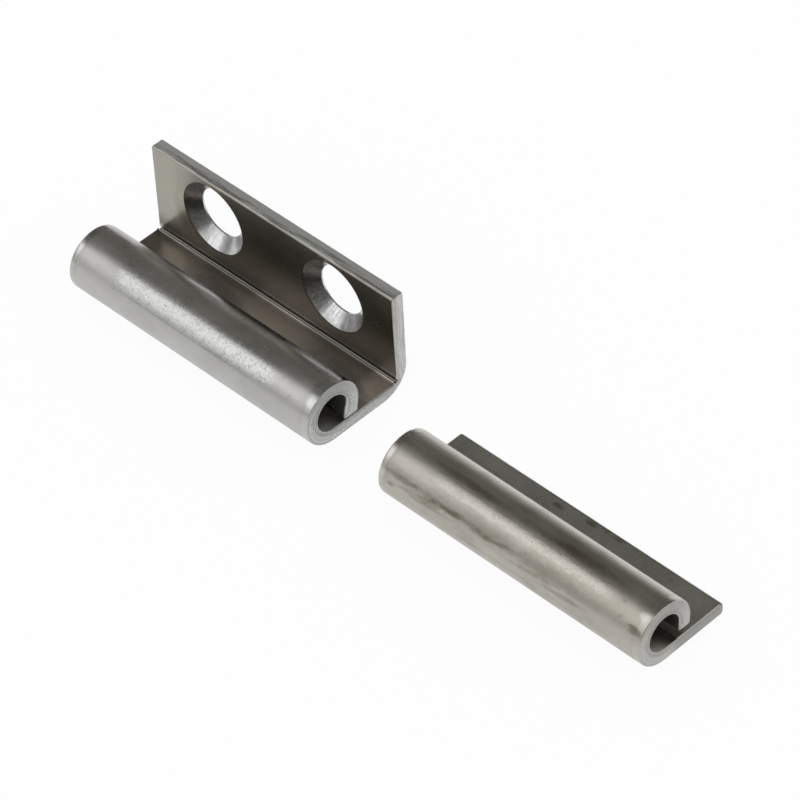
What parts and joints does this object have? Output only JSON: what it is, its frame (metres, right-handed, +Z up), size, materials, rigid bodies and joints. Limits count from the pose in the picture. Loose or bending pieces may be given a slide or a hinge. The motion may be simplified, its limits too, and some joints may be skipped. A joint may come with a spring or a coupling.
{
  "type": "lift off hinge",
  "caption": "Lift off hinge of rolled steel strip, taken apart: a screw-on leaf with an upright drilled flange, a weld-on leaf with a flat tab, and their pin.",
  "frame": {"origin": "middle of the bounding box of both leaves as they lie, on the surface under them", "axes": "+X along the knuckles from the screw-on leaf to the weld-on leaf, +Y from the knuckles to the upright flange, +Z up"},
  "size_m": [0.1142, 0.0205, 0.0186],
  "materials": {
    "screw_leaf_steel": "rolled, bare",
    "weld_leaf_steel": "rolled, bare, stained",
    "pin_steel": "drawn, bare"
  },
  "bodies": {
    "screw_on_leaf": {"screw_on_leaf": "screw_leaf_steel"},
    "hinge_pin": {"hinge_pin": "pin_steel"},
    "weld_on_leaf": {"weld_on_leaf": "weld_leaf_steel"}
  },
  "joints": [
    {"name": "swing", "type": "hinge", "parent": "screw_on_leaf", "child": "hinge_pin", "pos_m": [-0.00715, -0.00495, 0.0053], "axis": [1, 0, 0], "range_deg": [0, 180]},
    {"name": "lift_off", "type": "slide", "parent": "hinge_pin", "child": "weld_on_leaf", "axis": [1, 0, 0], "range_m": [-0.0141, 0]}
  ]
}
